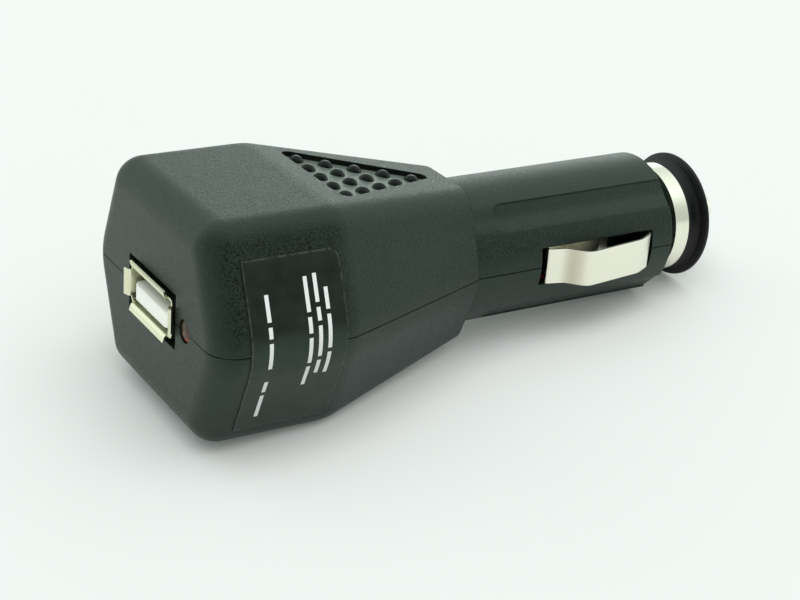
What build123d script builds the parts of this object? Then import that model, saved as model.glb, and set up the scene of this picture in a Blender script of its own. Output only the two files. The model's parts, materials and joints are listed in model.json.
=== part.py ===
"""Car USB charger plug: a moulded housing with a USB-A socket, sprung side contacts and a fused nose.

Frame: millimetres. X runs along the barrel towards the tip, Z is up, and Z = 0 is the parting plane.
The origin is on the barrel's axis at the shoulder where the head ends and the barrel starts.
"""
from math import atan, cos, degrees, radians, sqrt, tan
import os

from build123d import *

os.makedirs("parts", exist_ok=True)

# Head of the housing
head_length = 44.5
ridge_from_front = 19.2
wall = 2.0
head_half_height = 15.5
head_peak_half_width = 20.9
flank_draft = 22.8
rear_half_height = 11.6
rear_peak_half_width = 11.5
corner_radius = 4.0
peak_radius = 9.0
front_edge_radius = 4.0
ridge_edge_radius = 9.0
same_place = 0.01

# Parting groove that shows as the seam between the halves
seam_width = 0.14
seam_depth = 0.3

# Barrel
barrel_radius = 10.45
barrel_length = 34.7
barrel_wall = 1.75
barrel_end_wall = 1.7
flute_width = 4.4
flute_depth = 0.45
flute_start = 3.8
flute_angle = 45.0
window_length = 20.0
window_from_end = 3.7
window_height = 5.7

# Spigot that carries the ring nut
spigot_radius = 7.3
spigot_length = 3.85
fuse_bore_radius = 3.9

# Finger grip on the sloping rear of the head
grip_base_from_shoulder = 21.9
grip_apex_from_shoulder = 1.5
grip_half_base = 9.85
grip_corner_radius = 1.3
grip_depth = 0.7
dome_radius = 1.06
dome_top_radius = 0.55
dome_height = 0.6
dome_sides = 6
dome_root = 0.2
dome_rows = 5
dome_row_pitch = 3.65
dome_pitch = 3.53
dome_last_row_from_shoulder = 5.45

# Side contacts: nickel strip folded into a hairpin
strip_thickness = 0.3
strip_width = 5.3
strip_fold_from_window = 1.2
strip_inner_y = 9.4
strip_fold_y = 10.25
strip_inner_leg = 9.4
strip_joggle = 0.8
strip_tail_length = 2.4
strip_tail_width = 8.2
strip_hump_from_fold = 2.7
strip_hump_y = 10.9
strip_apex_from_fold = 5.1
strip_apex_y = 13.3
strip_shoulder_from_foot = 3.15
strip_shoulder_y = 12.1
strip_curl_from_foot = 0.25
strip_curl_y = 10.6
strip_foot_from_window = 0.45
strip_foot_length = 2.0
strip_fold_bend = 0.4
strip_hump_bend = 4.0
strip_apex_bend = 3.5
strip_shoulder_bend = 2.5
strip_curl_bend = 0.9
contact_seat_gap = 0.12

# Nose: ring nut, dished flange and centre pin
ring_radius = 8.3
ring_length = 2.5
thread_clearance = 0.05
seat_clearance = 0.05
flange_neck = 1.2
flange_hub_radius = 8.15
flange_hub_length = 0.65
flange_dish_depth = 1.65
flange_rim_radius = 9.55
flange_rim_thickness = 0.75
pin_radius = 2.5
pin_clearance = 0.12
pin_shoulder_radius = 3.6
pin_shoulder = 1.5
pin_proud = 7.0
pin_tip_chamfer = 1.2

# Cartridge fuse and the coil spring behind it
fuse_length = 20.0
fuse_cap_radius = 2.6
fuse_cap_length = 4.0
fuse_glass_radius = 2.35
fuse_glass_wall = 0.45
fuse_strip_width = 1.2
fuse_strip_thickness = 0.15
cradle_clearance = 0.15
cradle_thickness = 1.4
cradle_half_width = 3.9
cradle_parting_gap = 0.2
cradles_from_fuse_end = (2.55, 10.95)
spring_length = 8.5
spring_radius = 1.8
spring_wire_radius = 0.28
spring_wire_sides = 4
spring_turns = 2.4
plate_thickness = 0.5
plate_half_size = 4.6
plate_grip = 1.1
plate_rib = 1.2
plate_clearance = 0.06

# USB-A socket
usb_width = 13.14
usb_height = 5.72
usb_sheet = 0.3
usb_depth = 14.0
usb_corner_radius = 0.7
usb_proud = 0.45
usb_slot_half_width = 7.5
usb_slot_half_height = 3.9
usb_lip_lean = 0.45
usb_long_lip = 11.0
usb_long_lip_reach = 0.8
usb_short_lip = 3.9
usb_short_lip_reach = 1.2
usb_fit = 0.03
usb_tab_width = 1.6
usb_tab_from_front = 9.0
usb_tab_clearance = 0.15
tongue_width = 11.1
tongue_thickness = 2.2
tongue_centre_z = -0.72
tongue_corner_radius = 1.2
tongue_recess = 0.2
insulator_block = 5.0
usb_contact_width = 1.0
usb_contact_thickness = 0.2
usb_contact_setback = 2.2
usb_contact_places = (-3.5, -1.0, 1.0, 3.5)
usb_tail_run = 0.9
usb_tail_proud = 0.5
usb_tail_hole_clearance = 0.2

# Indicator lamp
led_y = -10.2
led_radius = 1.5
led_clearance = 0.1
led_length = 5.0
led_set_back = 0.05
led_lead = 0.45
led_lead_pitch = 2.54
led_lead_run = 2.2
led_lead_hole_clearance = 0.15

# Circuit board
board_thickness = 1.6
board_front_gap = 0.4
board_half_width = 13.0
board_rear_half_width = 7.5
board_taper_from_shoulder = 26.0
board_rear_from_shoulder = 8.0

# Pads that clamp the board, and the pins that line the halves up through it
pad_size = 3.2
pad_front_from_front = 11.8
pad_front_y = 10.6
pad_rear_from_shoulder = 13.0
pad_rear_y = 6.6
pad_clearance = 0.05
locating_pin_height = 2.4
locating_pin_size = 1.6
locating_pin_clearance = 0.1

# Converter parts
capacitor_radius = 3.15
input_capacitor_length = 9.0
input_capacitor_from_shoulder = 14.0
output_capacitor_length = 7.0
output_capacitor_from_shoulder = 24.2
output_capacitor_y = 5.0
inductor_size = 7.2
inductor_height = 4.6
inductor_corner = 1.2
inductor_from_shoulder = 23.8
inductor_y = -5.0
chip_length = 4.9
chip_width = 3.9
chip_height = 1.5
chip_standoff = 0.1
chip_from_shoulder = 22.0
chip_lead_pitch = 1.27
chip_lead_count = 4
chip_lead_width = 0.4
chip_lead_thickness = 0.2
chip_lead_reach = 1.05
chip_lead_height = 0.8
diode_length = 4.4
diode_width = 2.7
diode_height = 2.2
diode_from_shoulder = 15.0
resistor_length = 2.0
resistor_width = 1.25
resistor_height = 0.5
resistor_count = 4
resistor_pitch = 2.6
resistor_from_shoulder = 28.5

# Wires inside the housing
wire_radius = 0.65
wire_sides = 6
wire_pad_from_shoulder = 9.7
ground_pad_y = 4.4
ground_wire_y = 7.0
ground_wire_z = -3.45
ground_wire_turn_x = -4.0
wire_end_gap = 0.05

# Rating label
label_thickness = 0.12
label_start = 4.6
label_length = 13.7
label_top = 11.4
label_bottom = -12.65
label_corner_radius = 1.6

# Places that follow from the sizes above
front_x = -head_length
ridge_x = front_x + ridge_from_front
tail_length = head_length - ridge_from_front
barrel_inner_radius = barrel_radius - barrel_wall
cavity_end_x = barrel_length - barrel_end_wall
window_end_x = barrel_length - window_from_end
window_start_x = window_end_x - window_length
strip_fold_x = window_start_x + strip_fold_from_window
strip_tail_x = strip_fold_x + strip_inner_leg + strip_joggle
strip_foot_x = window_end_x - strip_foot_from_window
spigot_end_x = barrel_length + spigot_length
flange_back_x = spigot_end_x + seat_clearance
hub_x = flange_back_x + flange_neck
hub_front_x = hub_x + flange_hub_length
rim_x = hub_front_x + flange_dish_depth
rim_front_x = rim_x + flange_rim_thickness
pin_tip_x = rim_front_x + pin_proud
ring_front_x = hub_x - seat_clearance
shoulder_front_x = flange_back_x - seat_clearance
shoulder_rear_x = shoulder_front_x - pin_shoulder
fuse_rear_x = shoulder_rear_x - fuse_length
plate_front_x = fuse_rear_x - spring_length
plate_rear_x = plate_front_x - plate_thickness
usb_mouth_x = front_x - usb_proud
usb_back_x = usb_mouth_x + usb_depth
usb_tail_x = usb_back_x + usb_tail_run
board_bottom_z = usb_height / 2
board_top_z = board_bottom_z + board_thickness
board_front_x = front_x + wall + board_front_gap
led_tip_x = front_x + led_set_back
led_back_x = led_tip_x + led_length
led_lead_x = led_back_x + led_lead_run
tongue_top_z = tongue_centre_z + tongue_thickness / 2
locating_hole_size = locating_pin_size + 2 * locating_pin_clearance
front_pads = [(front_x + pad_front_from_front, side * pad_front_y) for side in (-1, 1)]
rear_pads = [(-pad_rear_from_shoulder, side * pad_rear_y) for side in (-1, 1)]


def at_x(edge, x):
    """Whether an edge lies in the plane at x."""
    box = edge.bounding_box()
    return abs(box.min.X - x) < same_place and abs(box.max.X - x) < same_place


def on_peak(edge):
    """Whether an edge is the sharp meeting line of an upper and a lower flank."""
    box = edge.bounding_box()
    return max(abs(box.min.Z), abs(box.max.Z)) < same_place < box.size.X


def on_corner(edge):
    """Whether an edge is the meeting line of a flank and the top or bottom face."""
    box = edge.bounding_box()
    return min(abs(box.min.Z), abs(box.max.Z)) > rear_half_height / 2 and box.size.X > same_place


def head_form(inset):
    """The head with sharp edges, moved in by inset: its side view trimmed by four drafted flanks."""
    draft = radians(flank_draft)
    side_points = [(front_x, head_half_height), (ridge_x, head_half_height), (0, rear_half_height)]
    fall = (head_peak_half_width - rear_peak_half_width) / tail_length
    flank_points = [
        (front_x - head_length, -head_length),
        (front_x - head_length, head_peak_half_width * cos(draft)),
        (ridge_x, head_peak_half_width * cos(draft)),
        (head_length, (rear_peak_half_width - fall * head_length) * cos(draft)),
        (head_length, -head_length),
    ]
    with BuildPart() as form:
        with BuildSketch(Plane.XZ) as side_view:
            Polygon(*side_points, *[(x, -z) for x, z in reversed(side_points)], align=None)
            fillet(side_view.vertices().group_by(Axis.X)[1], ridge_edge_radius)
            offset(amount=-inset, kind=Kind.INTERSECTION)
        extrude(amount=head_length, both=True)
        for side in (-1, 1):
            for lift in (-1, 1):
                outward = Vector(0, side, 0).rotate(Axis.X, side * lift * flank_draft)
                flank_plane = Plane(origin=(0, 0, 0), x_dir=(1, 0, 0), z_dir=Vector(1, 0, 0).cross(outward))
                with BuildSketch(flank_plane) as flank:
                    Polygon(*flank_points, align=None)
                    ridge_corner = flank.vertices().sort_by_distance((ridge_x, head_peak_half_width, 0))[0]
                    fillet(ridge_corner, ridge_edge_radius)
                    offset(amount=-inset, kind=Kind.INTERSECTION)
                extrude(amount=head_length, both=True, mode=Mode.INTERSECT)
    return form.part


def rod(radius, start, end, y=0.0, z=0.0):
    """Round bar along X."""
    with BuildPart() as bar:
        with BuildSketch(Plane.YZ.offset(start)):
            with Locations((y, z)):
                Circle(radius)
        extrude(amount=end - start)
    return bar.part


def block(x_range, y_range, z_range):
    """Square block between two corners."""
    lengths = [high - low for low, high in (x_range, y_range, z_range)]
    middle = [(high + low) / 2 for low, high in (x_range, y_range, z_range)]
    with BuildPart(Plane(middle)) as cube:
        Box(*lengths)
    return cube.part


def post(place, radius, start, end):
    """Round post along Z."""
    with BuildPart() as column:
        with BuildSketch(Plane.XY.offset(start)):
            with Locations(place):
                Circle(radius)
        extrude(amount=end - start)
    return column.part


def pillar(place, size, start, end):
    """Square post along Z."""
    with BuildPart() as column:
        with BuildSketch(Plane.XY.offset(start)):
            with Locations(place):
                Rectangle(size, size)
        extrude(amount=end - start)
    return column.part


def finish(piece, name):
    """Label a piece and write its file."""
    piece.part.label = name
    export_step(piece.part, f"parts/{name}.step")


# Hollow housing, before it is parted
peak_drop = peak_radius * (1 / cos(radians(flank_draft)) - 1)
with BuildPart() as seam:
    seam_x = (front_x - wall, barrel_length)
    add(block(seam_x, (-head_length, head_length), (-seam_width / 2, seam_width / 2)))
    add(head_form(seam_depth + peak_drop), mode=Mode.SUBTRACT)
    add(rod(barrel_radius - seam_depth, -wall, barrel_length + wall), mode=Mode.SUBTRACT)

with BuildPart() as cavity:
    add(head_form(wall))
    chamfer(cavity.edges().filter_by(lambda e: at_x(e, front_x + wall)), front_edge_radius - wall)

with BuildPart() as housing:
    add(head_form(0))
    fillet(housing.edges().filter_by(on_peak), peak_radius)
    fillet(housing.edges().filter_by(on_corner), corner_radius)
    fillet(housing.edges().filter_by(lambda e: at_x(e, front_x)), min(front_edge_radius, corner_radius))
    add(rod(barrel_radius, -wall, barrel_length))
    add(rod(spigot_radius, barrel_length - wall, spigot_end_x))
    add(cavity.part, mode=Mode.SUBTRACT)
    add(rod(barrel_inner_radius, -2 * wall, cavity_end_x), mode=Mode.SUBTRACT)
    add(rod(fuse_bore_radius, cavity_end_x - wall, spigot_end_x + wall), mode=Mode.SUBTRACT)
    for side in (-1, 1):
        for lift in (-1, 1):
            outward = Vector(0, side, 0).rotate(Axis.X, side * lift * flute_angle)
            flute_plane = Plane(origin=(0, 0, 0), x_dir=(1, 0, 0), z_dir=outward)
            with BuildSketch(flute_plane.offset(barrel_radius - flute_depth)):
                with Locations((flute_start + barrel_length, 0)):
                    SlotOverall(2 * barrel_length, flute_width)
            extrude(amount=barrel_wall, mode=Mode.SUBTRACT)
        window_y = sorted((side * (barrel_inner_radius - wall), side * (barrel_radius + wall)))
        window_x = (window_start_x, window_end_x)
        add(block(window_x, window_y, (-window_height / 2, window_height / 2)), mode=Mode.SUBTRACT)
    slot_x = (front_x - wall, front_x + 2 * wall)
    slot_y = (-usb_slot_half_width, usb_slot_half_width)
    slot_z = (-usb_slot_half_height, usb_slot_half_height)
    add(block(slot_x, slot_y, slot_z), mode=Mode.SUBTRACT)
    add(rod(led_radius + led_clearance, *slot_x, led_y), mode=Mode.SUBTRACT)
    add(seam.part, mode=Mode.SUBTRACT)

with BuildPart() as dome:
    with BuildSketch() as foot:
        RegularPolygon(dome_radius, dome_sides)
    extrude(foot.sketch, amount=-dome_root)
    inward = (dome_radius - dome_top_radius) * cos(radians(180 / dome_sides))
    extrude(foot.sketch, amount=dome_height, taper=degrees(atan(inward / dome_height)))

slope = atan((head_half_height - rear_half_height) / tail_length)
grip_plane = Plane(origin=(0, 0, rear_half_height), x_dir=(1, 0, -tan(slope)), z_dir=(tan(slope), 0, 1))
dome_places = [
    (
        -(dome_last_row_from_shoulder + row * dome_row_pitch) / cos(slope),
        (place - row / 2) * dome_pitch,
    )
    for row in range(dome_rows)
    for place in range(row + 1)
]

with BuildPart() as grip_recess:
    with BuildSketch(grip_plane) as outline:
        apex = -grip_apex_from_shoulder / cos(slope)
        base = -grip_base_from_shoulder / cos(slope)
        Polygon((apex, 0), (base, grip_half_base), (base, -grip_half_base), align=None)
        fillet(outline.vertices(), grip_corner_radius)
    extrude(amount=grip_depth, both=True)

with BuildPart() as domes:
    with Locations(grip_plane.offset(-grip_depth)):
        with Locations(*dome_places):
            add(dome.part)

# Ribs that hold the fuse and the plate behind its spring
with BuildPart() as ribs:
    for rise in ((cradle_parting_gap, barrel_radius), (-barrel_radius, -cradle_parting_gap)):
        for start in [fuse_rear_x + away for away in cradles_from_fuse_end]:
            add(block((start, start + cradle_thickness), (-cradle_half_width, cradle_half_width), rise))
    plate_slot = (plate_rear_x - plate_clearance, plate_front_x + plate_clearance)
    plate_hold = (plate_slot[0] - plate_rib, plate_slot[1] + plate_rib)
    plate_room = plate_half_size + plate_clearance
    hold_start = plate_half_size - plate_grip
    for rise in ((hold_start, barrel_radius), (-barrel_radius, -hold_start)):
        add(block(plate_hold, (-plate_room, plate_room), rise))
    add(block(plate_slot, (-plate_room, plate_room), (-plate_room, plate_room)), mode=Mode.SUBTRACT)
    cradle_room = (-fuse_cap_radius - cradle_clearance, fuse_cap_radius + cradle_clearance)
    add(block((0, barrel_length), cradle_room, cradle_room), mode=Mode.SUBTRACT)
    add(rod(barrel_radius - barrel_wall / 2, 0, barrel_length), mode=Mode.INTERSECT)

# Pads that clamp the board from below and above
with BuildPart() as pads:
    with BuildSketch(Plane.XY.offset(-head_half_height)):
        with Locations(*front_pads, *rear_pads):
            Rectangle(pad_size, pad_size)
    extrude(amount=2 * head_half_height)
    board_gap = (board_bottom_z, board_top_z + pad_clearance)
    add(block((front_x, 0), (-head_peak_half_width, head_peak_half_width), board_gap), mode=Mode.SUBTRACT)
    add(head_form(wall / 2), mode=Mode.INTERSECT)

with BuildPart() as upper_shell:
    add(housing.part)
    add(ribs.part)
    split(bisect_by=Plane.XY, keep=Keep.TOP)
    add(pads.part.solids().filter_by(lambda solid: solid.center().Z > board_top_z))
    add(grip_recess.part, mode=Mode.SUBTRACT)
    add(domes.part)
    for place in front_pads:
        hole_top = board_top_z + locating_pin_height + locating_pin_clearance
        add(pillar(place, locating_hole_size, board_bottom_z, hole_top), mode=Mode.SUBTRACT)
finish(upper_shell, "upper_shell")

with BuildPart() as lower_shell:
    add(housing.part)
    add(ribs.part)
    split(bisect_by=Plane.XY, keep=Keep.BOTTOM)
    add(pads.part.solids().filter_by(lambda solid: solid.center().Z < board_bottom_z))
    mirror(grip_recess.part, about=Plane.XY, mode=Mode.SUBTRACT)
    mirror(domes.part, about=Plane.XY)
    for place in front_pads:
        add(pillar(place, locating_pin_size, board_bottom_z - wall, board_top_z + locating_pin_height))
finish(lower_shell, "lower_shell")

# Side contacts, drawn with their outward distance as Y and then turned to their sides
strip_rest = contact_seat_gap + strip_thickness / 2
strip_foot_y = sqrt(barrel_inner_radius**2 - (strip_width / 2) ** 2) - strip_rest
strip_tail_y = sqrt(barrel_inner_radius**2 - (strip_tail_width / 2) ** 2) - strip_rest
with BuildPart() as side_contact:
    with BuildLine() as strip_path:
        Polyline(
            (strip_tail_x + strip_tail_length, strip_tail_y),
            (strip_tail_x, strip_tail_y),
            (strip_fold_x + strip_inner_leg, strip_inner_y),
            (strip_fold_x, strip_inner_y),
        )
        FilletPolyline(
            (strip_fold_x, strip_inner_y),
            (strip_fold_x, strip_fold_y),
            (strip_fold_x + strip_hump_from_fold, strip_hump_y),
            (strip_fold_x + strip_apex_from_fold, strip_apex_y),
            (strip_foot_x - strip_shoulder_from_foot, strip_shoulder_y),
            (strip_foot_x - strip_curl_from_foot, strip_curl_y),
            (strip_foot_x, strip_foot_y),
            radius=[
                strip_fold_bend,
                strip_hump_bend,
                strip_apex_bend,
                strip_shoulder_bend,
                strip_curl_bend,
            ],
        )
        Line((strip_foot_x, strip_foot_y), (strip_foot_x + strip_foot_length, strip_foot_y))
    with BuildSketch(Plane(origin=strip_path.line @ 0, x_dir=(0, 1, 0), z_dir=strip_path.line % 0)):
        Rectangle(strip_thickness, strip_width)
    sweep(transition=Transition.RIGHT)
    tail_x = (strip_tail_x + strip_thickness, strip_tail_x + strip_tail_length)
    tail_y = (strip_tail_y - strip_thickness / 2, strip_tail_y + strip_thickness / 2)
    add(block(tail_x, tail_y, (-strip_tail_width / 2, strip_tail_width / 2)))

with BuildPart() as side_contact_far:
    add(side_contact.part)
finish(side_contact_far, "side_contact_far")

with BuildPart() as side_contact_near:
    mirror(side_contact.part, about=Plane.XZ)
finish(side_contact_near, "side_contact_near")

# Nose
with BuildPart() as nose_ring:
    with BuildSketch(Plane.YZ.offset(ring_front_x)):
        Circle(ring_radius)
        Circle(spigot_radius + thread_clearance, mode=Mode.SUBTRACT)
    extrude(amount=-ring_length)
finish(nose_ring, "nose_ring")

with BuildPart() as nose_flange:
    with BuildSketch():
        with BuildLine():
            hole_radius = pin_radius + pin_clearance
            Polyline(
                (flange_back_x, hole_radius),
                (flange_back_x, spigot_radius),
                (hub_x, spigot_radius),
                (hub_x, flange_hub_radius),
                (hub_front_x, flange_hub_radius),
                (rim_x, flange_rim_radius),
                (rim_front_x, flange_rim_radius),
                (rim_front_x, hole_radius),
                close=True,
            )
        make_face()
    revolve(axis=Axis.X)
finish(nose_flange, "nose_flange")

with BuildPart() as centre_pin:
    add(rod(pin_radius, shoulder_rear_x, pin_tip_x))
    chamfer(centre_pin.edges().filter_by(lambda e: at_x(e, pin_tip_x)), pin_tip_chamfer)
    add(rod(pin_shoulder_radius, shoulder_rear_x, shoulder_front_x))
finish(centre_pin, "centre_pin")

# Fuse
with BuildPart() as fuse_caps:
    add(rod(fuse_cap_radius, fuse_rear_x, fuse_rear_x + fuse_cap_length))
    add(rod(fuse_cap_radius, shoulder_rear_x - fuse_cap_length, shoulder_rear_x))
finish(fuse_caps, "fuse_caps")

glass_start = fuse_rear_x + fuse_cap_length
glass_end = shoulder_rear_x - fuse_cap_length
with BuildPart() as fuse_tube:
    with BuildSketch(Plane.YZ.offset(glass_start)):
        Circle(fuse_glass_radius)
        Circle(fuse_glass_radius - fuse_glass_wall, mode=Mode.SUBTRACT)
    extrude(amount=glass_end - glass_start)
finish(fuse_tube, "fuse_tube")

with BuildPart() as fuse_wire:
    strip_y = (-fuse_strip_width / 2, fuse_strip_width / 2)
    strip_z = (-fuse_strip_thickness / 2, fuse_strip_thickness / 2)
    add(block((glass_start, glass_end), strip_y, strip_z))
finish(fuse_wire, "fuse_wire")

with BuildPart() as pin_spring:
    with BuildLine() as coil:
        height = spring_length - 2 * spring_wire_radius
        start = (plate_front_x + spring_wire_radius, 0, 0)
        Helix(height / spring_turns, height, spring_radius, center=start, direction=(1, 0, 0))
    with BuildSketch(Plane(origin=coil.line @ 0, z_dir=coil.line % 0)):
        RegularPolygon(spring_wire_radius, spring_wire_sides)
    sweep(is_frenet=True)
finish(pin_spring, "pin_spring")

with BuildPart() as fuse_contact:
    edge = (-plate_half_size, plate_half_size)
    add(block((plate_rear_x, plate_front_x), edge, edge))
finish(fuse_contact, "fuse_contact")

# USB-A socket
inner_half_width = usb_width / 2 - usb_sheet
inner_half_height = usb_height / 2 - usb_sheet


def flared_lip(half_size, reach):
    """Section of a lip leaning out from a wall with its inner face at half_size, as (x, outward) points."""
    length = sqrt(usb_lip_lean**2 + reach**2)
    shift_x = usb_sheet * reach / length
    shift_out = usb_sheet * usb_lip_lean / length
    tip = (usb_mouth_x - usb_lip_lean, half_size + reach)
    return [
        (usb_mouth_x, half_size),
        tip,
        (tip[0] + shift_x, tip[1] + shift_out),
        (usb_mouth_x + shift_x, half_size + usb_sheet),
        (usb_mouth_x + 2 * usb_sheet, half_size + usb_sheet),
        (usb_mouth_x + 2 * usb_sheet, half_size),
    ]


with BuildPart() as usb_shell:
    with BuildSketch(Plane.YZ.offset(usb_mouth_x)):
        RectangleRounded(usb_width, usb_height, usb_corner_radius)
        Rectangle(2 * inner_half_width, 2 * inner_half_height, mode=Mode.SUBTRACT)
    extrude(amount=usb_depth)
    with BuildSketch(Plane.XZ):
        lip = flared_lip(inner_half_height, usb_long_lip_reach)
        for side in (-1, 1):
            Polygon(*[(x, side * out) for x, out in lip], align=None)
    extrude(amount=usb_long_lip / 2, both=True)
    with BuildSketch(Plane.XY):
        lip = flared_lip(inner_half_width, usb_short_lip_reach)
        for side in (-1, 1):
            Polygon(*[(x, side * out) for x, out in lip], align=None)
    extrude(amount=usb_short_lip / 2, both=True)
    for side in (-1, 1):
        tab_x = front_x + usb_tab_from_front
        tab_y = sorted((side * inner_half_width, side * usb_width / 2))
        add(block((tab_x, tab_x + usb_tab_width), tab_y, (0, board_top_z + usb_sheet)))
finish(usb_shell, "usb_shell")

with BuildPart() as usb_contact:
    with BuildSketch(Plane.XZ):
        contact_front = front_x + usb_contact_setback
        contact_top = tongue_top_z + usb_contact_thickness
        with BuildLine():
            Polyline(
                (contact_front, tongue_top_z),
                (usb_tail_x + usb_contact_thickness, tongue_top_z),
                (usb_tail_x + usb_contact_thickness, board_top_z + usb_tail_proud),
                (usb_tail_x, board_top_z + usb_tail_proud),
                (usb_tail_x, contact_top),
                (contact_front, contact_top),
                close=True,
            )
        make_face()
    extrude(amount=usb_contact_width / 2, both=True)

with BuildPart() as usb_contacts:
    with Locations(*[(0, y, 0) for y in usb_contact_places]):
        add(usb_contact.part)
finish(usb_contacts, "usb_contacts")

with BuildPart() as usb_insulator:
    block_x = (usb_back_x - insulator_block, usb_back_x)
    block_y = (usb_fit - inner_half_width, inner_half_width - usb_fit)
    block_z = (usb_fit - inner_half_height, inner_half_height - usb_fit)
    add(block(block_x, block_y, block_z))
    tongue_x = (usb_mouth_x + tongue_recess, usb_back_x)
    with BuildSketch(Plane.XY.offset(tongue_centre_z)):
        with Locations((tongue_x[0] + usb_depth, 0)):
            RectangleRounded(2 * usb_depth, tongue_width, tongue_corner_radius)
        with Locations((usb_back_x + usb_depth, 0)):
            Rectangle(2 * usb_depth, usb_width, mode=Mode.SUBTRACT)
    extrude(amount=tongue_thickness / 2, both=True)
    add(usb_contacts.part, mode=Mode.SUBTRACT)
finish(usb_insulator, "usb_insulator")

# Indicator lamp
with BuildPart() as indicator_led:
    add(rod(led_radius, led_tip_x, led_back_x, led_y))
finish(indicator_led, "indicator_led")

led_lead_places = [led_y + side * led_lead_pitch / 2 for side in (-1, 1)]
with BuildPart() as led_leads:
    for y in led_lead_places:
        lead_y = (y - led_lead / 2, y + led_lead / 2)
        lead_x = (led_lead_x - led_lead / 2, led_lead_x + led_lead / 2)
        add(block((led_back_x, lead_x[1]), lead_y, (-led_lead / 2, led_lead / 2)))
        add(block(lead_x, lead_y, (-led_lead / 2, board_top_z + usb_tail_proud)))
finish(led_leads, "led_leads")

# Circuit board
with BuildPart() as circuit_board:
    with BuildSketch(Plane.XY.offset(board_bottom_z)):
        half_outline = [
            (board_front_x, board_half_width),
            (-board_taper_from_shoulder, board_half_width),
            (-board_rear_from_shoulder, board_rear_half_width),
        ]
        Polygon(*half_outline, *[(x, -y) for x, y in reversed(half_outline)], align=None)
        with Locations(*front_pads):
            Rectangle(locating_hole_size, locating_hole_size, mode=Mode.SUBTRACT)
        tail_hole = (
            usb_contact_thickness + 2 * usb_tail_hole_clearance,
            usb_contact_width + 2 * usb_tail_hole_clearance,
        )
        with Locations(*[(usb_tail_x + usb_contact_thickness / 2, y) for y in usb_contact_places]):
            Rectangle(*tail_hole, mode=Mode.SUBTRACT)
        lead_hole = led_lead + 2 * led_lead_hole_clearance
        with Locations(*[(led_lead_x, y) for y in led_lead_places]):
            Rectangle(lead_hole, lead_hole, mode=Mode.SUBTRACT)
        tab_middle = front_x + usb_tab_from_front + usb_tab_width / 2
        tab_offset = usb_width / 2 - usb_sheet / 2
        with Locations(*[(tab_middle, side * tab_offset) for side in (-1, 1)]):
            tab_slot = (usb_tab_width + 2 * usb_tab_clearance, usb_sheet + 2 * usb_tab_clearance)
            Rectangle(*tab_slot, mode=Mode.SUBTRACT)
    extrude(amount=board_thickness)
finish(circuit_board, "circuit_board")


# Converter parts: cans and a shielded inductor below the board, flat parts on top of it
with BuildPart() as input_capacitor:
    input_place = (-input_capacitor_from_shoulder, 0)
    add(post(input_place, capacitor_radius, board_bottom_z - input_capacitor_length, board_bottom_z))
finish(input_capacitor, "input_capacitor")

with BuildPart() as output_capacitor:
    output_place = (-output_capacitor_from_shoulder, output_capacitor_y)
    add(post(output_place, capacitor_radius, board_bottom_z - output_capacitor_length, board_bottom_z))
finish(output_capacitor, "output_capacitor")

with BuildPart() as power_inductor:
    with BuildSketch(Plane.XY.offset(board_bottom_z)) as shield:
        with Locations((-inductor_from_shoulder, inductor_y)):
            Rectangle(inductor_size, inductor_size)
        chamfer(shield.vertices(), inductor_corner)
    extrude(amount=-inductor_height)
finish(power_inductor, "power_inductor")

chip_bottom_z = board_top_z + chip_standoff
with BuildPart() as controller_chip:
    chip_x = (-chip_from_shoulder - chip_length / 2, -chip_from_shoulder + chip_length / 2)
    chip_z = (chip_bottom_z, chip_bottom_z + chip_height)
    add(block(chip_x, (-chip_width / 2, chip_width / 2), chip_z))
finish(controller_chip, "controller_chip")

with BuildPart() as chip_lead:
    with BuildSketch(Plane.YZ):
        with BuildLine():
            knee = chip_width / 2 + chip_lead_reach / 2
            toe = chip_width / 2 + chip_lead_reach
            lead_top = board_top_z + chip_lead_height
            Polyline(
                (chip_width / 2, lead_top),
                (knee, lead_top),
                (knee, board_top_z + chip_lead_thickness),
                (toe, board_top_z + chip_lead_thickness),
                (toe, board_top_z),
                (knee - chip_lead_thickness, board_top_z),
                (knee - chip_lead_thickness, lead_top - chip_lead_thickness),
                (chip_width / 2, lead_top - chip_lead_thickness),
                close=True,
            )
        make_face()
    extrude(amount=chip_lead_width / 2, both=True)
    mirror(about=Plane.XZ)

with BuildPart() as chip_leads:
    first_lead = -chip_from_shoulder - (chip_lead_count - 1) * chip_lead_pitch / 2
    with Locations(*[(first_lead + i * chip_lead_pitch, 0, 0) for i in range(chip_lead_count)]):
        add(chip_lead.part)
finish(chip_leads, "chip_leads")

with BuildPart() as rectifier_diode:
    diode_x = (-diode_from_shoulder - diode_width / 2, -diode_from_shoulder + diode_width / 2)
    diode_y = (-diode_length / 2, diode_length / 2)
    add(block(diode_x, diode_y, (board_top_z, board_top_z + diode_height)))
finish(rectifier_diode, "rectifier_diode")

with BuildPart() as chip_resistors:
    with BuildSketch(Plane.XY.offset(board_top_z)):
        with Locations((-resistor_from_shoulder, 0)):
            with GridLocations(resistor_length, resistor_pitch, 1, resistor_count):
                Rectangle(resistor_length, resistor_width)
    extrude(amount=resistor_height)
finish(chip_resistors, "chip_resistors")


# Wires inside the housing
def wire(*points):
    """Stiff six-sided lead along straight runs with mitred corners."""
    with BuildPart() as lead:
        with BuildLine() as path:
            Polyline(*points)
        with BuildSketch(Plane(origin=path.line @ 0, z_dir=path.line % 0)):
            RegularPolygon(wire_radius, wire_sides)
        sweep(transition=Transition.RIGHT)
    return lead.part


with BuildPart() as supply_lead:
    turn = (-wire_pad_from_shoulder, 0, 0)
    add(wire((plate_rear_x, 0, 0), turn, (-wire_pad_from_shoulder, 0, board_bottom_z)))
finish(supply_lead, "supply_lead")

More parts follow.
